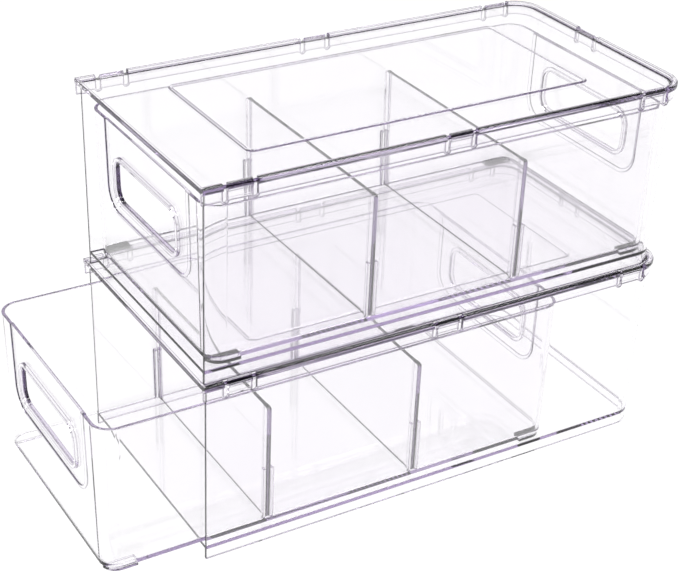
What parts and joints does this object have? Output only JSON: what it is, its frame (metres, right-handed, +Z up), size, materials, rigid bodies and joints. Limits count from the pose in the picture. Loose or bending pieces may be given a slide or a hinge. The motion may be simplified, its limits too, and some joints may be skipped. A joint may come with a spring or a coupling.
{
  "type": "fridge bin",
  "caption": "Clear plastic fridge bins stacked on each other, with lids that clip on and pull-out drawers that have hand slots and lift-out dividers.",
  "frame": {"origin": "centre of the bounding box in plan, on the plane the lower casing stands on", "axes": "+X runs from the drawer fronts to the closed rear end, +Y across, +Z up; the lower drawer is 66 mm out at rest"},
  "size_m": [0.3892, 0.1712, 0.2432],
  "materials": {
    "casing_plastic": "clear polished injection-moulded polystyrene",
    "lid_plastic": "clear polished injection-moulded polystyrene",
    "drawer_plastic": "clear polished injection-moulded polystyrene",
    "divider_plastic": "clear polished injection-moulded polystyrene"
  },
  "bodies": {
    "lower_casing": {"lower_casing": "casing_plastic"},
    "lower_lid": {"lower_lid": "lid_plastic"},
    "lower_drawer": {"lower_drawer": "drawer_plastic"},
    "lower_divider_front": {"lower_divider_front": "divider_plastic"},
    "lower_divider_rear": {"lower_divider_rear": "divider_plastic"},
    "upper_casing": {"upper_casing": "casing_plastic"},
    "upper_lid": {"upper_lid": "lid_plastic"},
    "upper_drawer": {"upper_drawer": "drawer_plastic"},
    "upper_divider_front": {"upper_divider_front": "divider_plastic"},
    "upper_divider_rear": {"upper_divider_rear": "divider_plastic"}
  },
  "joints": [
    {"name": "lower_lid_lift", "type": "slide", "parent": "lower_casing", "child": "lower_lid", "axis": [0, 0, 1], "range_m": [0, 0.04]},
    {"name": "upper_unit_lift", "type": "slide", "parent": "lower_lid", "child": "upper_casing", "axis": [0, 0, 1], "range_m": [0, 0.04]},
    {"name": "upper_lid_lift", "type": "slide", "parent": "upper_casing", "child": "upper_lid", "axis": [0, 0, 1], "range_m": [0, 0.04]},
    {"name": "lower_drawer_slide", "type": "slide", "parent": "lower_casing", "child": "lower_drawer", "axis": [-1, 0, 0], "range_m": [-0.066, 0.246]},
    {"name": "upper_drawer_slide", "type": "slide", "parent": "upper_casing", "child": "upper_drawer", "axis": [-1, 0, 0], "range_m": [0, 0.31]},
    {"name": "lower_divider_front_lift", "type": "slide", "parent": "lower_drawer", "child": "lower_divider_front", "axis": [0, 0, 1], "range_m": [0, 0.025]},
    {"name": "lower_divider_rear_lift", "type": "slide", "parent": "lower_drawer", "child": "lower_divider_rear", "axis": [0, 0, 1], "range_m": [0, 0.025]},
    {"name": "upper_divider_front_lift", "type": "slide", "parent": "upper_drawer", "child": "upper_divider_front", "axis": [0, 0, 1], "range_m": [0, 0.025]},
    {"name": "upper_divider_rear_lift", "type": "slide", "parent": "upper_drawer", "child": "upper_divider_rear", "axis": [0, 0, 1], "range_m": [0, 0.025]}
  ]
}
